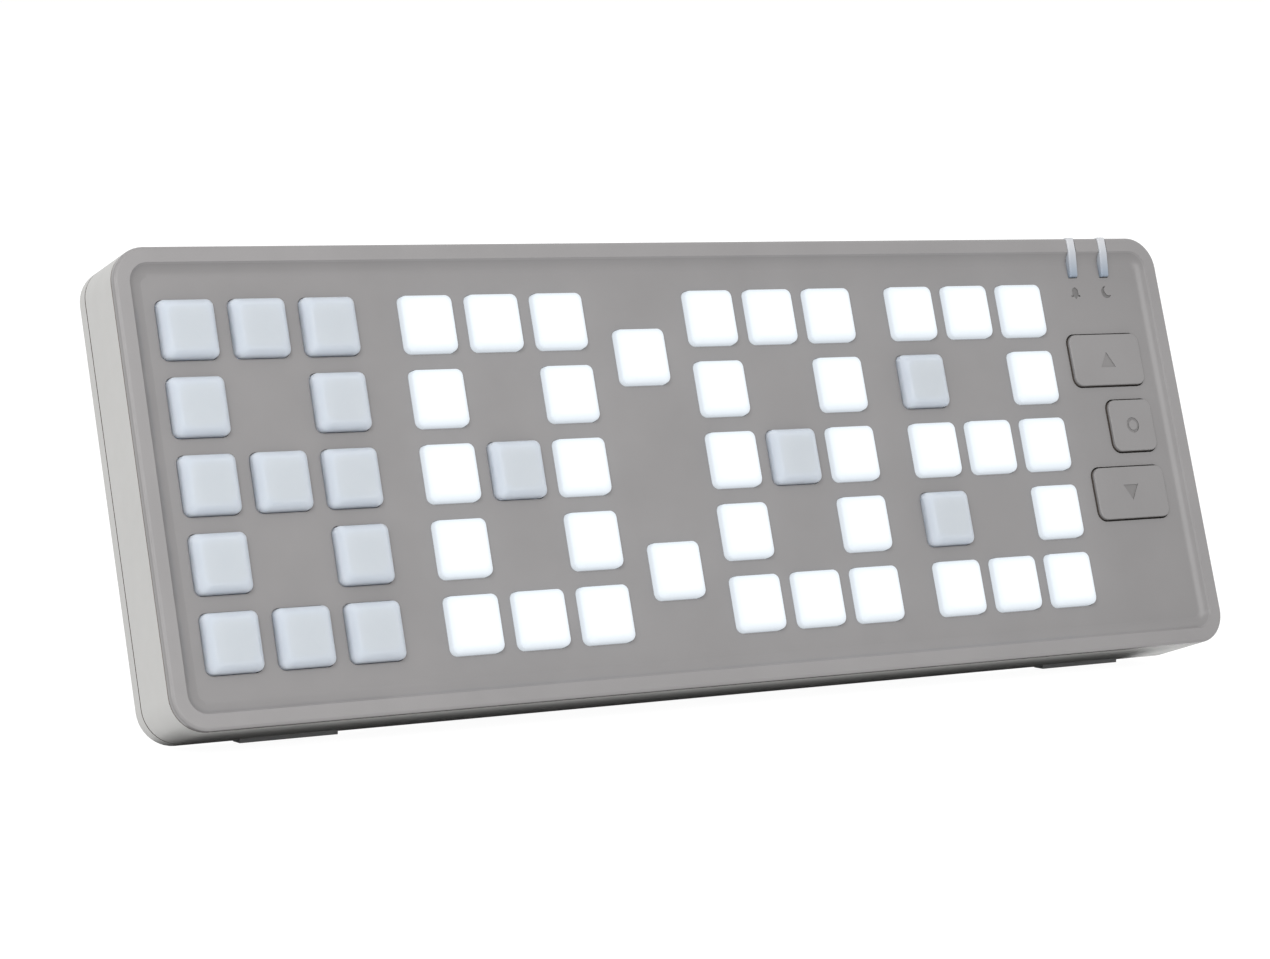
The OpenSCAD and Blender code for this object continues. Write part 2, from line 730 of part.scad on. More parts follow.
module key_cap() {
    block(key_w + 2 * key_lip, key_w + 2 * key_lip, baffle_front, panel_back);
    soft_slab(key_w, key_w, key_corner_r, panel_back, panel_z + key_rise, key_edge_r);
}
module lit_keys(d) leaned() color(lit_white) at(state_places(d, true)) key_cap();
module dark_keys(d) leaned() color(dark_white) at(state_places(d, false)) key_cap();
module colon_keys() leaned() color(lit_white) at(colon_places) key_cap();

// A button: the cap with its sunk mark, the lip behind the panel and the stem on the plunger
module button(place, w) leaned() color(grey) at([place]) {
    difference() {
        soft_slab(w, button_h, button_corner_r, button_lip_z, panel_z + button_rise, button_edge_r);
        sunk_mark(mark_h, panel_z + button_rise) children();
    }
    block(w + 2 * button_lip, button_h + 2 * button_lip, button_lip_z - button_lip_t, button_lip_z);
    rod(stem_r, stem_z, button_lip_z - button_lip_t);
}
module up_button() button(up_place, button_w) arrow_mark();
module mode_button() button(mode_place, mode_w) ring_mark();
module down_button() button(down_place, button_w) rotate(180) arrow_mark();

module push_switches() leaned() color(black) at(button_places) difference() {
    block(switch_w, switch_w, board_front, board_front + switch_h);
    rod(plunger_r + run_gap, board_front + switch_floor, board_front + switch_h + over);
}
module plunger(place) leaned() color(brass) at([place]) rod(plunger_r, plunger_z, stem_z);
module up_plunger() plunger(up_place);
module mode_plunger() plunger(mode_place);
module down_plunger() plunger(down_place);

// A light pipe: its side view slopes from the panel to the rim and then runs over the top face
module light_pipe(x) leaned() color(pipe_white) {
    led_z = board_front + led_h + pass_gap;
    translate([x - pipe_w / 2, 0, 0]) rotate([90, 0, 90]) linear_extrude(pipe_w)
        polygon([
            [pipe_end_y, led_z],
            [pipe_end_y, panel_z + pipe_rise],
            [body_h - rim_w, rim_z + pipe_proud],
            [body_h + pipe_proud, rim_z + pipe_proud],
            [body_h + pipe_proud, rim_z - pipe_wrap],
            [body_h - wall, rim_z - pipe_wrap],
            [body_h - wall, panel_back],
            [pipe_end_y + pipe_foot_l, panel_back],
            [pipe_end_y + pipe_foot_l, led_z]
        ]);
}
module left_light_pipe() light_pipe(pipe_x[0]);
module right_light_pipe() light_pipe(pipe_x[1]);

module light_baffle() leaned() color(lit_white) difference() {
    reach = key_reach + baffle_edge;
    translate([first_x - reach, row_margin - reach, board_front])
        cube([baffle_right - first_x + reach, (rows - 1) * key_pitch + 2 * reach, baffle_t]);
    at(all_keys) block(key_w, key_w, board_front - over, baffle_front + over);
    at(concat(case_places, board_places)) rod(post_r + pass_gap, board_front - over, baffle_front + over);
}

module circuit_board() leaned() color(board_green) difference() {
    body_prism(board_inset, board_back, board_front);
    at(case_places) rod(post_r + pass_gap, board_back - over, board_front + over);
    at(board_places) rod(screw_r + thread_gap, board_back - over, board_front + over);
}

module display_leds() leaned() color(lit_white)
    at(all_keys) block(led_w, led_w, board_front, board_front + led_h);
module indicator_leds() leaned() color(lit_white)
    for (x = pipe_x)
        at([[x, pipe_led_y]]) block(pipe_w, pipe_w, board_front, board_front + led_h);

module clock_chip() leaned() color(black)
    at([chip_place]) block(chip_w, chip_w, board_back - chip_h, board_back);
module driver_chips() leaned() color(black)
    at(driver_places) block(driver_l, driver_w, board_back - chip_h, board_back);
module crystal() leaned() color(steel)
    at([crystal_place])
        rounded_block(crystal_l, crystal_w, crystal_w / 2 - end_flat, board_back - crystal_h, board_back);
module capacitors() leaned() color(steel)
    at(capacitor_places) rod(capacitor_r, board_back - capacitor_h, board_back);
module buzzer() leaned() color(black) at([buzzer_place]) difference() {
    rod(buzzer_r, board_back - buzzer_h, board_back);
    rod(sound_r, board_back - buzzer_h - over, board_back - buzzer_h + over);
}

module power_socket() leaned() color(steel) at([socket_place]) {
    inner_w = socket_w - 2 * socket_wall;
    inner_h = socket_h - 2 * socket_wall;
    floor_z = board_back - 2 * socket_wall;
    difference() {
        rounded_block(socket_w, socket_h, socket_h / 2 - end_flat, head_sink, board_back);
        rounded_block(inner_w, inner_h, inner_h / 2 - end_flat, head_sink - over, floor_z);
    }
    block(inner_w - 2 * tongue_t, tongue_t, head_sink + over, floor_z + socket_wall);
}

module cell_holder() leaned() color(black) at([cell_place]) difference() {
    rod(holder_r + holder_wall, holder_z, board_back);
    rod(holder_r, holder_z - over, board_back + over);
}
module cell_contact() leaned() color(brass)
    at([cell_place]) block(contact_l, contact_w, board_back - contact_t, board_back);
module coin_cell() leaned() color(steel) at([cell_place]) rod(cell_r, cell_z, cell_z + cell_t);

module battery_door() leaned() color(light_grey) at([cell_place]) difference() {
    union() {
        rod(door_r, 0, door_flange_t);
        rod(skirt_r, 0, lug_z + lug_t);
        intersection() {
            block(lug_w, 2 * (lug_r + over), lug_z, lug_z + lug_t);
            rod(lug_r, lug_z, lug_z + lug_t);
        }
    }
    rod(holder_r, floor_t, lug_z + lug_t + over);
    block(coin_slot_l, coin_slot_w, -over, door_flange_t / 2);
}

// A screw, drawn head down, with a cross in its head
module screw(z0, z1) difference() {
    union() {
        rod(head_r, z0, z0 + head_h);
        rod(screw_r, z0, z1);
    }
    block(cross_l, cross_w, z0 - over, z0 + head_h / 2);
    block(cross_w, cross_l, z0 - over, z0 + head_h / 2);
}
module case_screws() leaned() color(steel) at(case_places) screw(head_sink, pilot_z - tip_gap);
module board_screws() leaned() color(steel) at(board_places) screw(board_back - head_h, pilot_z - tip_gap);
module foot_screws() leaned() color(steel)
    at(foot_places) translate([0, 0, floor_t]) mirror([0, 0, 1]) screw(-head_h, floor_t + foot_screw_l);

front_cover();
side_frame();
rear_cover();
rear_foot();
edge_rest_pads();
foot_rest_pads();
colon_keys();
up_button();
mode_button();
down_button();
left_light_pipe();
right_light_pipe();
light_baffle();
circuit_board();
display_leds();
indicator_leds();
push_switches();
up_plunger();
mode_plunger();
down_plunger();
clock_chip();
driver_chips();
crystal();
capacitors();
buzzer();
power_socket();
cell_holder();
cell_contact();
coin_cell();
battery_door();
case_screws();
board_screws();
foot_screws();
for (d = [0 : 3]) {
    lit_keys(d);
    dark_keys(d);
}
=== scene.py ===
"""Looks of the alarm clock whose display is a grid of lit key caps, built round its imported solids.

Places on the clock are given in the body's own frame, in millimetres: X to the right, Y up the
panel from its bottom edge and Z out of the front from the back face. Colours are linear values.
"""
import json
import math

import bmesh
import bpy
from mathutils import Matrix, Vector


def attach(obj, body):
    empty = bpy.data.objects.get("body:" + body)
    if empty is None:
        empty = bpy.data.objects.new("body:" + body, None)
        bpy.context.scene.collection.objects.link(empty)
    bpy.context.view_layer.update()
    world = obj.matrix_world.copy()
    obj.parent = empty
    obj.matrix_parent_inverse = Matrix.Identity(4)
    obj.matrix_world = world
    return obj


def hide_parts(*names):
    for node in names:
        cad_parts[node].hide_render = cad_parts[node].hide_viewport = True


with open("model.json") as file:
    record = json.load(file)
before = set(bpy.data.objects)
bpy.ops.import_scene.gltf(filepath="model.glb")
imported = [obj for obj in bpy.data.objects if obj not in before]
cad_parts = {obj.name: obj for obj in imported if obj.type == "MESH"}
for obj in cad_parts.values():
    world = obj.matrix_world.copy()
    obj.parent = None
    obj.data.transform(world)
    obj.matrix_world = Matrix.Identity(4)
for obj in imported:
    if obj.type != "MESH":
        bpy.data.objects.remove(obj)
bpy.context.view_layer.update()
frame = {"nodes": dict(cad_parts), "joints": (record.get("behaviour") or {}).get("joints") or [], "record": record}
nodes_by_name = frame["nodes"]
SLOTS = {s["node"]: s["material_slot"] for s in frame["record"]["subparts"]}
MM = 0.001

# Camera, fitted to the photograph of 1270 x 959 pixels: its place in the row's frame and its
# sensor in millimetres, its angles in degrees
CAMERA_PLACE = (-344.9, -524.27, 87.85)
CAMERA_YAW = 32.582
CAMERA_DIP = 4.497
CAMERA_ROLL = -0.08
CAMERA_LENS = 99.65
CAMERA_SENSOR = 36.0

# Key caps: a lip behind the panel, an upright wall and a slope up to a faintly crowned top
CAP_RISE = 2.2
LIP_REACH = 5.8
LIP_CORNER = 0.3
LIP_T = 1.0
CAP_HALF = 5.02
CAP_CORNER = 1.2
CAP_DRAFT = 0.05
CAP_SHOULDER = 0.75
SLOPE_RUN = 1.5
SLOPE_HANDLE = 0.42
TOP_CORNER = 1.0
CROWN = 0.12
CORNER_STEPS = 8
SLOPE_STEPS = 10
CROWN_STEPS = 6
# Distance from a cap's middle at which its heart fades out
HEART_REACH = 7.0

# Marks: depth of their recesses in the solids, and of the ink in them
MARK_DEPTH = 0.25
INK_T = 0.1

# Rounding of the light pipes' edges, where they turn by more than this angle in degrees
PIPE_ROUND = 0.3
PIPE_ROUND_STEPS = 4
PIPE_EDGE_ANGLE = 40

# Points closer than this are one point, and heights closer than this are one level
SAME_POINT = 0.001
SAME_LEVEL = 0.01


def body_frame():
    """Matrix that takes a point of the body's frame, in metres, to the row's frame."""
    press = next(j for j in frame["joints"] if j["name"] == "up_press")
    lean = math.asin(-press["axis"][2])
    turn = Matrix.Rotation(math.pi / 2 - lean, 4, "X")
    back = turn.inverted()
    low_y = min((back @ v.co).y for v in nodes_by_name["side_frame"].data.vertices)
    low_z = min((back @ v.co).z for v in nodes_by_name["rear_cover"].data.vertices)
    return turn @ Matrix.Translation((0, low_y, low_z))


BODY = body_frame()
TO_BODY = BODY.inverted()
FRONT = BODY.to_3x3() @ Vector((0, 0, 1))
UP = BODY.to_3x3() @ Vector((0, 1, 0))


def body_box(node):
    """Lowest and highest corner of a node in the body's frame, in millimetres."""
    points = [TO_BODY @ v.co / MM for v in nodes_by_name[node].data.vertices]
    low = Vector(min(p[i] for p in points) for i in range(3))
    high = Vector(max(p[i] for p in points) for i in range(3))
    return low, high


def islands(node):
    """Middle of each separate solid of a node, as X and Y of the body's frame."""
    bm = bmesh.new()
    bm.from_mesh(nodes_by_name[node].data)
    bmesh.ops.remove_doubles(bm, verts=bm.verts, dist=SAME_POINT * MM)
    left = set(bm.verts)
    middles = []
    while left:
        found = [left.pop()]
        for v in found:
            near = {e.other_vert(v) for e in v.link_edges} & left
            left -= near
            found.extend(near)
        points = [TO_BODY @ v.co / MM for v in found]
        middles.append([(min(p[i] for p in points) + max(p[i] for p in points)) / 2
                        for i in range(2)])
    bm.free()
    return sorted(middles)


# A cap's top less its rise is the panel's level
PANEL_Z = body_box("colon_keys")[1].z - CAP_RISE

# Node trees

# The range that nearly all of a noise's values lie in
NOISE_RANGE = (0.3, 0.7)
# Waves a metre of the clouds in a colour, of the ripple in a clear piece and of a gloss
CLOUD_SCALE = 60
RIPPLE_SCALE = 300
MOULDED_GLOSS_SCALE = 400
CLEAR_GLOSS_SCALE = 500
# Layers of finer noise in these, and in a grain
NOISE_DETAIL = 3.0
GRAIN_DETAIL = 2.0


def new_material(name):
    mat = bpy.data.materials.new(name)
    mat.use_nodes = True
    return mat, mat.node_tree, mat.node_tree.nodes["Principled BSDF"]


def rest_place(tree):
    """Place of a point in the row's frame, as it is at rest."""
    return tree.nodes.new("ShaderNodeTexCoord").outputs["Object"]


def noise(tree, scale, detail=NOISE_DETAIL):
    """Noise in the row's frame, with its scale in waves a metre."""
    texture = tree.nodes.new("ShaderNodeTexNoise")
    texture.inputs["Scale"].default_value = scale
    texture.inputs["Detail"].default_value = detail
    tree.links.new(rest_place(tree), texture.inputs["Vector"])
    return texture.outputs["Fac"]


def math_node(tree, operation, *values):
    """Math node on inputs that are each a socket or a number."""
    node = tree.nodes.new("ShaderNodeMath")
    node.operation = operation
    for socket, value in zip(node.inputs, values):
        if isinstance(value, (int, float)):
            socket.default_value = value
        else:
            tree.links.new(value, socket)
    return node.outputs[0]


def along(tree, vector, way):
    """How far a vector reaches in one direction."""
    node = tree.nodes.new("ShaderNodeVectorMath")
    node.operation = "DOT_PRODUCT"
    node.inputs[1].default_value = way
    tree.links.new(vector, node.inputs[0])
    return node.outputs["Value"]


def level(way, distance):
    """Where a distance of the body's frame, in millimetres, lies in one direction of the row's."""
    return BODY.translation.dot(way) + distance * MM


def ramp(tree, source, stops):
    """Colour ramp from a value, with (place, colour) stops."""
    node = tree.nodes.new("ShaderNodeValToRGB")
    elements = node.color_ramp.elements
    while len(elements) < len(stops):
        elements.new(0.5)
    for element, (position, colour) in zip(elements, stops):
        element.position = position
        element.color = (*colour, 1)
    tree.links.new(source, node.inputs["Fac"])
    return node.outputs["Color"]


def map_range(tree, source, old_range, new_range=(0.0, 1.0)):
    """A value of the old range, carried over to the new one."""
    node = tree.nodes.new("ShaderNodeMapRange")
    names = ("From Min", "From Max", "To Min", "To Max")
    for name, value in zip(names, (*old_range, *new_range)):
        node.inputs[name].default_value = value
    tree.links.new(source, node.inputs["Value"])
    return node.outputs["Result"]


def mix(tree, amount, first, second):
    """Colour that runs from the first socket to the second socket or colour."""
    node = tree.nodes.new("ShaderNodeMix")
    node.data_type = "RGBA"
    tree.links.new(amount, node.inputs[0])
    tree.links.new(first, node.inputs[6])
    if isinstance(second, tuple):
        node.inputs[7].default_value = (*second, 1)
    else:
        tree.links.new(second, node.inputs[7])
    return node.outputs[2]


def gloss(tree, shader, scale, rough):
    """Roughness that wanders from the lower to the upper of two values."""
    wander = map_range(tree, noise(tree, scale), NOISE_RANGE, rough)
    tree.links.new(wander, shader.inputs["Roughness"])


def grain(tree, shader, scale, depth):
    """Fine moulded grain, as a bump of that depth in millimetres."""
    bump = tree.nodes.new("ShaderNodeBump")
    bump.inputs["Strength"].default_value = 1.0
    bump.inputs["Distance"].default_value = depth * MM
    tree.links.new(noise(tree, scale, GRAIN_DETAIL), bump.inputs["Height"])
    tree.links.new(bump.outputs["Normal"], shader.inputs["Normal"])


def rippled(tree, value, depth):
    """A value with faint waves of that depth."""
    return math_node(tree, "MULTIPLY_ADD", noise(tree, RIPPLE_SCALE), depth, value)


def shade(colour, amount):
    return tuple(min(1.0, c * amount) for c in colour)


# Faces that look straight to the front or the back count as a seam's past this cosine
SEAM_COSINE = 0.95
# Painted shade in the gaps: the darker for the rear seam and the buttons' gaps, the lighter for the front seam
SEAM_SHADE = (0.075, 0.060, 0.050)
FRONT_SEAM_SHADE = (0.17, 0.145, 0.125)
# How much lighter the rim is painted than the panel
RIM_LIFT = 1.12


def seam_shade_mask(tree, way):
    """1 on faces that look to the front (way 1) or to the back (way -1)."""
    surface = tree.nodes.new("ShaderNodeNewGeometry")
    cosine = along(tree, surface.outputs["True Normal"], FRONT * way)
    return math_node(tree, "GREATER_THAN", cosine, SEAM_COSINE)


def height_mask(tree, z):
    """1 above that height of the body's frame, in millimetres."""
    return math_node(tree, "GREATER_THAN", along(tree, rest_place(tree), FRONT), level(FRONT, z))


def moulded(name, colour, cloud=0.04, rough=(0.42, 0.52), grain_scale=3500, grain_depth=0.004,
            metal=0.0, seam_shades=(), rim_z=None, gap_shade_z=None):
    """Moulded or plated surface: a faintly cloudy colour, a wandering gloss and a fine grain.

    Each seam is given as a way, 1 or -1, and a colour: faces that look that way lie in a seam and
    are painted that colour as the seam's shade.
    Where rim_z is given, what lies above that height of the body is painted a little lighter.
    Where a gap height is given, what lies below it sits in a gap and is painted in the seam's shade.
    """
    mat, tree, shader = new_material(name)
    tones = (shade(colour, 1 - cloud), shade(colour, 1 + cloud))
    stops = list(zip(NOISE_RANGE, tones))
    base = ramp(tree, noise(tree, CLOUD_SCALE), stops)
    # The rim is painted a little lighter than the panel
    if rim_z is not None:
        lighter = [(position, shade(tone, RIM_LIFT)) for position, tone in stops]
        rim = ramp(tree, noise(tree, CLOUD_SCALE), lighter)
        base = mix(tree, height_mask(tree, rim_z), base, rim)
    # Faces in a seam are painted dark, as the seam's shade
    for way, seam_shade in seam_shades:
        base = mix(tree, seam_shade_mask(tree, way), base, seam_shade)
    # A button's wall below the gap height is painted dark, as the shade in its gap
    if gap_shade_z is not None:
        below = math_node(tree, "SUBTRACT", 1, height_mask(tree, gap_shade_z))
        base = mix(tree, below, base, SEAM_SHADE)
    tree.links.new(base, shader.inputs["Base Color"])
    gloss(tree, shader, MOULDED_GLOSS_SCALE, rough)
    grain(tree, shader, grain_scale, grain_depth)
    shader.inputs["Metallic"].default_value = metal
    return mat


# Key caps' gloss, ripple and grain, and the mean way of light inside an unlit cap
CAP_ROUGH = (0.42, 0.52)
CAP_RIPPLE = 0.05
CAP_GRAIN_SCALE = 2500
CAP_GRAIN_DEPTH = 0.002
CAP_SCATTER = 4.0
# Their colours and glow, from the corners to the heart
DARK_CAP = [(0.10, (0.43, 0.465, 0.52)), (0.50, (0.43, 0.465, 0.51)), (0.75, (0.44, 0.47, 0.50))]
LIT_CAP = [(0.10, (0.30, 0.33, 0.36)), (0.60, (0.33, 0.35, 0.37))]
LIT_GLOW = [(0.10, (0.068, 0.073, 0.078)), (0.45, (0.076, 0.081, 0.085)),
            (0.82, (0.092, 0.095, 0.096)), (0.94, (0.13, 0.13, 0.13)), (1.0, (1, 1, 1))]
GLOW_STRENGTH = 6.0


def cap_material(name, stops, glow=None):
    """Translucent cap whose colour, and glow if it is lit, run from its corners to its heart."""
    mat, tree, shader = new_material(name)
    heart = tree.nodes.new("ShaderNodeAttribute")
    heart.attribute_name = "heart"
    depth = heart.outputs["Fac"]
    colour = ramp(tree, rippled(tree, depth, CAP_RIPPLE), stops)
    tree.links.new(colour, shader.inputs["Base Color"])
    gloss(tree, shader, CLEAR_GLOSS_SCALE, CAP_ROUGH)
    grain(tree, shader, CAP_GRAIN_SCALE, CAP_GRAIN_DEPTH)
    if glow:
        tree.links.new(ramp(tree, depth, glow), shader.inputs["Emission Color"])
        shader.inputs["Emission Strength"].default_value = GLOW_STRENGTH
    else:
        shader.inputs["Subsurface Weight"].default_value = 1.0
        shader.inputs["Subsurface Radius"].default_value = (1.0, 1.0, 1.0)
        shader.inputs["Subsurface Scale"].default_value = CAP_SCATTER * MM
    return mat


# Light pipes' colours from the lower end to the top face, gloss, ripple and grain
PIPE_COLOURS = [(0.1, (0.22, 0.262, 0.318)), (0.9, (0.48, 0.49, 0.51))]
PIPE_ROUGH = (0.30, 0.40)
PIPE_RIPPLE = 0.1
PIPE_GRAIN_SCALE = 1500
PIPE_GRAIN_DEPTH = 0.001


def pipe_material(name):
    """Clear pipe that is bluish at its lower end and whiter towards the top face."""
    mat, tree, shader = new_material(name)
    low, high = body_box("left_light_pipe")
    ends = (level(UP, low.y), level(UP, high.y))
    height = map_range(tree, along(tree, rest_place(tree), UP), ends)
    colour = ramp(tree, rippled(tree, height, PIPE_RIPPLE), PIPE_COLOURS)
    tree.links.new(colour, shader.inputs["Base Color"])
    gloss(tree, shader, CLEAR_GLOSS_SCALE, PIPE_ROUGH)
    grain(tree, shader, PIPE_GRAIN_SCALE, PIPE_GRAIN_DEPTH)
    return mat


FRONT_GREY = (0.196, 0.190, 0.190)
CASE_GREY = (0.405, 0.402, 0.393)
CASE_CLOUD = 0.02
INK_GREY = (0.155, 0.150, 0.149)
LABEL_GREY = (0.12, 0.116, 0.115)
INK_FINISH = {"cloud": 0.1, "rough": (0.5, 0.6), "grain_scale": 2500, "grain_depth": 0.003}
METAL_FINISH = {"cloud": 0.06, "grain_scale": 1800, "grain_depth": 0.002, "metal": 1.0}
# The rim's painted lighter tone reaches this far below its face
RIM_DEPTH = 0.3
# A button's wall is painted dark, as the shade in its gap, up to this height above the panel
BUTTON_SHADE_RISE = 0.15

MATERIALS = {
    "front_plastic": moulded("front_satin_plastic", FRONT_GREY, rough=(0.20, 0.27),
                             seam_shades=[(-1, FRONT_SEAM_SHADE)],
                             rim_z=body_box("front_cover")[1].z - RIM_DEPTH),
    "case_plastic": moulded("case_satin_plastic", CASE_GREY, cloud=CASE_CLOUD,
                            seam_shades=[(1, SEAM_SHADE)]),
    "rest_rubber": moulded("rest_rubber", (0.22, 0.22, 0.22), cloud=0.1, rough=(0.75, 0.9),
                           grain_scale=2200, grain_depth=0.02),
    "lit_key": cap_material("lit_cap", LIT_CAP, LIT_GLOW),
    "dark_key": cap_material("dark_cap", DARK_CAP),
    "light_pipe": pipe_material("light_pipe_clear"),
    "baffle_plastic": moulded("baffle_white", (0.8, 0.8, 0.8), cloud=0.03, rough=(0.5, 0.6)),
    "board": moulded("board_lacquer", (0.02, 0.12, 0.05), cloud=0.25, rough=(0.25, 0.4),
                     grain_scale=900, grain_depth=0.006),
    "led": moulded("led_lens", (0.85, 0.82, 0.68), cloud=0.05, rough=(0.15, 0.25)),
    "black_plastic": moulded("black_moulding", (0.02, 0.02, 0.021), cloud=0.15, rough=(0.45, 0.6)),
    "plunger_plastic": moulded("plunger_tan", (0.5, 0.36, 0.12), cloud=0.08),
    "steel": moulded("plated_steel", (0.6, 0.6, 0.62), rough=(0.25, 0.38), **METAL_FINISH),
    "brass": moulded("spring_brass", (0.7, 0.5, 0.2), rough=(0.25, 0.35), **METAL_FINISH),
}
FRAME_PLASTIC = moulded("frame_satin_plastic", CASE_GREY, cloud=CASE_CLOUD,
                        seam_shades=[(1, FRONT_SEAM_SHADE), (-1, SEAM_SHADE)])
BUTTON_PLASTIC = moulded("button_satin_plastic", FRONT_GREY, gap_shade_z=PANEL_Z + BUTTON_SHADE_RISE)
MARK_INK = moulded("mark_ink", INK_GREY, **INK_FINISH)
LABEL_INK = moulded("label_ink", LABEL_GREY, **INK_FINISH)


def new_piece(name, bm, body, material):
    """Piece of the scene from a bmesh, which it frees."""
    mesh = bpy.data.meshes.new(name)
    bm.to_mesh(mesh)
    bm.free()
    mesh.materials.append(material)
    piece = bpy.data.objects.new(name, mesh)
    bpy.context.scene.collection.objects.link(piece)
    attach(piece, body)
    return piece


# Key caps


def rounded_square(half, corner):
    """Points round a square with round corners, the same count for every size."""
    points = []
    for k in range(4):
        middle = Vector((half - corner, half - corner))
        for i in range(CORNER_STEPS + 1):
            a = math.pi / 2 * i / CORNER_STEPS
            p = middle + corner * Vector((math.cos(a), math.sin(a)))
            for _ in range(k):
                p = Vector((-p.y, p.x))
            points.append(p)
    return points


def slope_point(t, rise):
    """Inset and height on a cap's slope, which starts upright and ends level."""
    u = 1 - t
    inset = 3 * u * t * t * (1 - SLOPE_HANDLE) + t ** 3
    height = 3 * u * u * t * SLOPE_HANDLE + 3 * u * t * t + t ** 3
    return SLOPE_RUN * inset, rise * height


def cap_rings(foot_z, panel_z, top_z):
    """Rings of a cap from its lip to its crown, as (half, corner, z, sharp)."""
    lip_top = foot_z + LIP_T
    shoulder = panel_z + CAP_SHOULDER
    rings = [
        (LIP_REACH, LIP_CORNER, foot_z, True),
        (LIP_REACH, LIP_CORNER, lip_top, True),
        (CAP_HALF, CAP_CORNER, lip_top, True),
        (CAP_HALF, CAP_CORNER, panel_z, False),
    ]
    wall = CAP_HALF - CAP_DRAFT
    for i in range(SLOPE_STEPS + 1):
        t = i / SLOPE_STEPS
        inset, height = slope_point(t, top_z - CROWN - shoulder)
        corner = CAP_CORNER + (TOP_CORNER - CAP_CORNER) * t
        rings.append((wall - inset, corner, shoulder + height, False))
    flat = wall - SLOPE_RUN
    for i in range(1, CROWN_STEPS):
        u = 1 - i / CROWN_STEPS
        rings.append((flat * u, TOP_CORNER * u, top_z - CROWN * u ** 2, False))
    return rings


def add_cap(bm, layer, middle, rings, top_z):
    """One cap round a middle, with its depth to the heart kept in the layer."""
    loops = []
    for half, corner, z, _ in rings:
        loop = []
        for p in rounded_square(half, corner):
            v = bm.verts.new(BODY @ (Vector((middle[0] + p.x, middle[1] + p.y, z)) * MM))
            v[layer] = max(0.0, 1 - (p.length / HEART_REACH) ** 2)
            loop.append(v)
        loops.append(loop)
    for lower, upper in zip(loops, loops[1:]):
        for i, v in enumerate(lower):
            j = (i + 1) % len(lower)
            bm.faces.new((v, lower[j], upper[j], upper[i]))
    crown = bm.verts.new(BODY @ (Vector((*middle, top_z)) * MM))
    crown[layer] = 1.0
    last = loops[-1]
    for i, v in enumerate(last):
        bm.faces.new((v, last[(i + 1) % len(last)], crown))
    bm.faces.new(reversed(loops[0]))
    for loop, (*_, sharp) in zip(loops, rings):
        if sharp:
            for i, v in enumerate(loop):
                bm.edges.get((v, loop[(i + 1) % len(loop)])).smooth = False


def make_caps(node):
    """Caps with soft slopes in the places of a node's plain ones."""
    low, high = body_box(node)
    bm = bmesh.new()
    layer = bm.verts.layers.float.new("heart")
    rings = cap_rings(low.z, PANEL_Z, high.z)
    for middle in islands(node):
        add_cap(bm, layer, middle, rings, high.z)
    for face in bm.faces:
        face.smooth = True
    slot = SLOTS[node]
    piece = new_piece(node.replace("keys", "caps"), bm, "case", MATERIALS[slot])
    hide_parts(node)


for node in sorted(nodes_by_name):
    if SLOTS[node] in ("lit_key", "dark_key"):
        make_caps(node)


# Marks


def make_ink(name, node, body, face_z, ink):
    """Ink in a node's sunk marks: plates on the faces that lie a mark's depth below its face."""
    bm = bmesh.new()
    bm.from_mesh(nodes_by_name[node].data)
    floor_z = face_z - MARK_DEPTH
    others = [f for f in bm.faces
              if any(abs((TO_BODY @ v.co).z / MM - floor_z) > SAME_LEVEL for v in f.verts)]
    bmesh.ops.delete(bm, geom=others, context="FACES")
    bmesh.ops.remove_doubles(bm, verts=bm.verts, dist=SAME_POINT * MM)
    raised = bmesh.ops.extrude_face_region(bm, geom=bm.faces[:], use_keep_orig=True)["geom"]
    tops = [g for g in raised if isinstance(g, bmesh.types.BMVert)]
    bmesh.ops.translate(bm, vec=FRONT * INK_T * MM, verts=tops)
    bmesh.ops.recalc_face_normals(bm, faces=bm.faces)
    new_piece(name, bm, body, ink)


for button in ("up_button", "mode_button", "down_button"):
    make_ink(button.replace("button", "mark"), button, button, body_box(button)[1].z, MARK_INK)
make_ink("indicator_marks", "front_cover", "case", PANEL_Z, LABEL_INK)

# Carried-over solids take the finish of their slot, the side frame and the buttons their own
for node, obj in nodes_by_name.items():
    finish = MATERIALS[SLOTS[node]]
    if node == "side_frame":
        finish = FRAME_PLASTIC
    elif node.endswith("button"):
        finish = BUTTON_PLASTIC
    obj.data.materials.clear()
    obj.data.materials.append(finish)

# The light pipes' edges are softly rounded
for node in ("left_light_pipe", "right_light_pipe"):
    weld = nodes_by_name[node].modifiers.new("weld", "WELD")
    weld.merge_threshold = SAME_POINT * MM
    soft = nodes_by_name[node].modifiers.new("soft_edges", "BEVEL")
    soft.width = PIPE_ROUND * MM
    soft.segments = PIPE_ROUND_STEPS
    soft.angle_limit = math.radians(PIPE_EDGE_ANGLE)

# Stage: a pale floor that shines by itself, and soft studio light

# Corners and heights of floor and card in the row's frame, in millimetres
FLOOR = ((-8000, -8000), (8000, 8000))
FLOOR_Z = 0
CARD = ((-108, -20.6), (98, 60))
CARD_Z = -1
FLOOR_GREY = (0.08, 0.08, 0.08)
CARD_BLACK = (0.02, 0.02, 0.02)
STAGE_ROUGH = (0.8, 0.9)
WHITE = (1.0, 1.0, 1.0, 1.0)
FLOOR_GLOW = 0.95
STUDIO_STRENGTH = 1.03
# The lights look at this point, in metres
LIGHT_AIM = (0, 0, 0.04)
# Glow of the lit caps in the lens
BLOOM = {"Threshold": 1.25, "Strength": 0.9, "Size": 0.4}

scene = bpy.context.scene


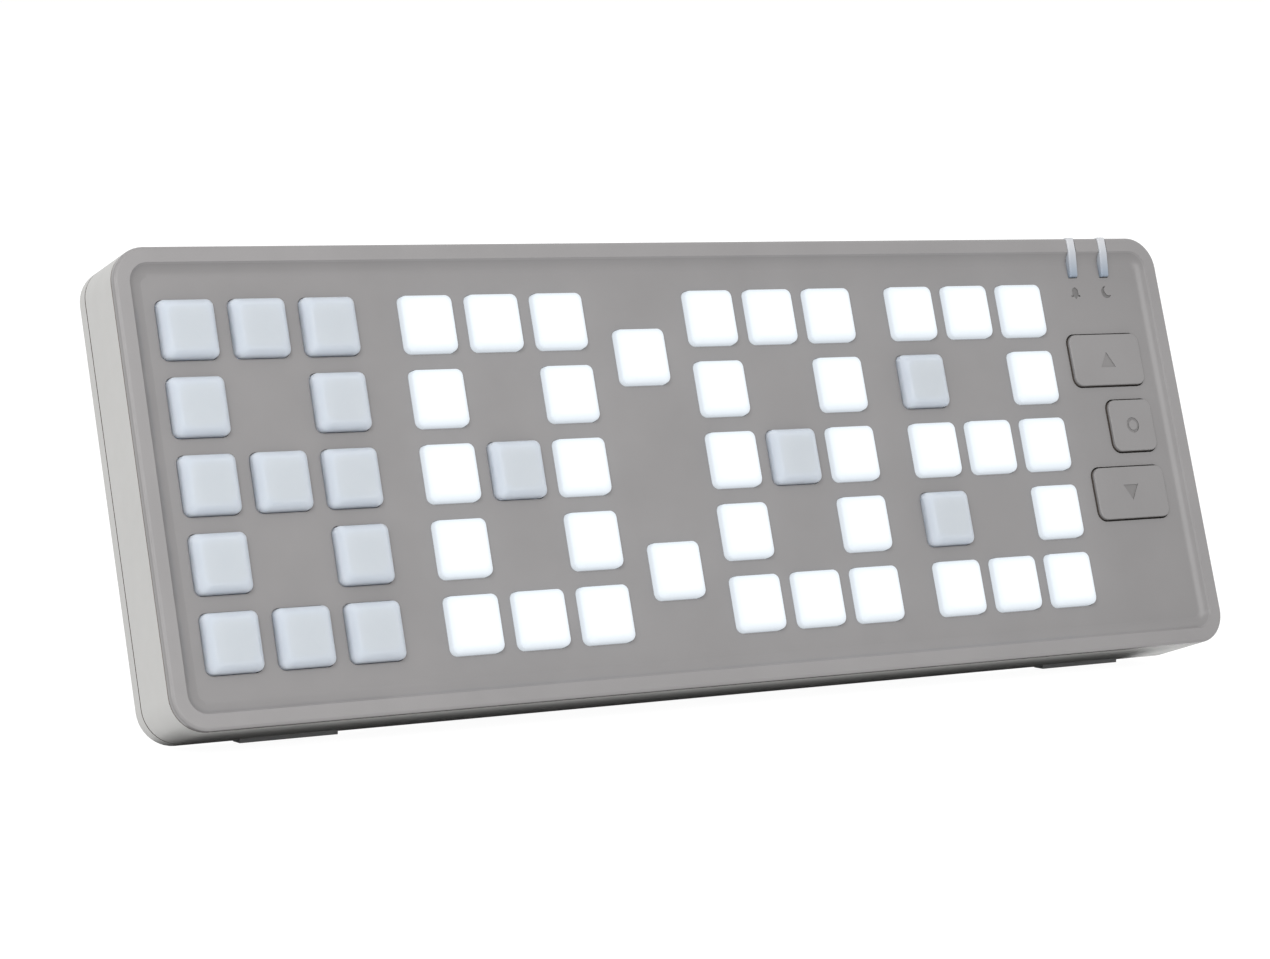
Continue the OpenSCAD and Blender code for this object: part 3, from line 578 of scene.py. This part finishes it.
def level_sheet(name, corners, z, material):
    """Level rectangle between two corners."""
    (x0, y0), (x1, y1) = corners
    points = [Vector((x, y, z)) * MM for x, y in ((x0, y0), (x1, y0), (x1, y1), (x0, y1))]
    mesh = bpy.data.meshes.new(name)
    mesh.from_pydata(points, [], [(0, 1, 2, 3)])
    mesh.materials.append(material)
    sheet = bpy.data.objects.new(name, mesh)
    scene.collection.objects.link(sheet)
    return sheet


floor_material = moulded("pale_floor", FLOOR_GREY, cloud=0.01, rough=STAGE_ROUGH,
                         grain_scale=300, grain_depth=0.0)
floor_shader = floor_material.node_tree.nodes["Principled BSDF"]
floor_shader.inputs["Emission Color"].default_value = WHITE
floor_shader.inputs["Emission Strength"].default_value = FLOOR_GLOW
floor = level_sheet("floor", FLOOR, FLOOR_Z, floor_material)
floor.visible_diffuse = False
floor.visible_glossy = False

# A dark card below the clock keeps the studio's light off its underside
card_material = moulded("card_black", CARD_BLACK, cloud=0.1, rough=STAGE_ROUGH)
card = level_sheet("dark_card", CARD, CARD_Z, card_material)
card.visible_camera = False


def soft_box(name, place, size, power):
    """Square area light that looks at the middle of the clock, in metres and watts."""
    data = bpy.data.lights.new(name, "AREA")
    data.size = size
    data.energy = power
    light = bpy.data.objects.new(name, data)
    light.location = place
    aim = Vector(LIGHT_AIM) - Vector(place)
    light.rotation_mode = "QUATERNION"
    light.rotation_quaternion = aim.to_track_quat("-Z", "Y")
    scene.collection.objects.link(light)
    return light


# The key light gives the shading, and the two boxes show in reflections alone
key_light = soft_box("key_light", place=(-0.5, -0.58, 0.45), size=0.35, power=4.0)
key_light.visible_glossy = False
front_box = soft_box("front_box", place=(0.03, -1.81, 0.91), size=1.4, power=12.0)
front_box.visible_diffuse = False
left_box = soft_box("left_box", place=(-0.85, -0.21, 0.29), size=0.5, power=1.6)
left_box.visible_diffuse = False

# An even white studio
world = bpy.data.worlds.new("studio")
scene.world = world
world.use_nodes = True
background = world.node_tree.nodes["Background"]
background.inputs["Color"].default_value = WHITE
background.inputs["Strength"].default_value = STUDIO_STRENGTH

camera_data = bpy.data.cameras.new("camera")
camera_data.lens = CAMERA_LENS
camera_data.sensor_width = CAMERA_SENSOR
camera = bpy.data.objects.new("camera", camera_data)
yaw = Matrix.Rotation(-math.radians(CAMERA_YAW), 4, "Z")
dip = Matrix.Rotation(math.radians(90 - CAMERA_DIP), 4, "X")
roll = Matrix.Rotation(math.radians(CAMERA_ROLL), 4, "Z")
camera.matrix_world = Matrix.Translation(Vector(CAMERA_PLACE) * MM) @ yaw @ dip @ roll
scene.collection.objects.link(camera)
scene.camera = camera
scene.view_settings.view_transform = "Standard"

# The lit caps glow a little into the lens
scene.use_nodes = True
composite = scene.node_tree
composite.nodes.clear()
layers = composite.nodes.new("CompositorNodeRLayers")
glare = composite.nodes.new("CompositorNodeGlare")
result = composite.nodes.new("CompositorNodeComposite")
glare.glare_type = "BLOOM"
glare.quality = "HIGH"
for setting, value in BLOOM.items():
    glare.inputs[setting].default_value = value
composite.links.new(layers.outputs["Image"], glare.inputs["Image"])
composite.links.new(glare.outputs["Image"], result.inputs["Image"])
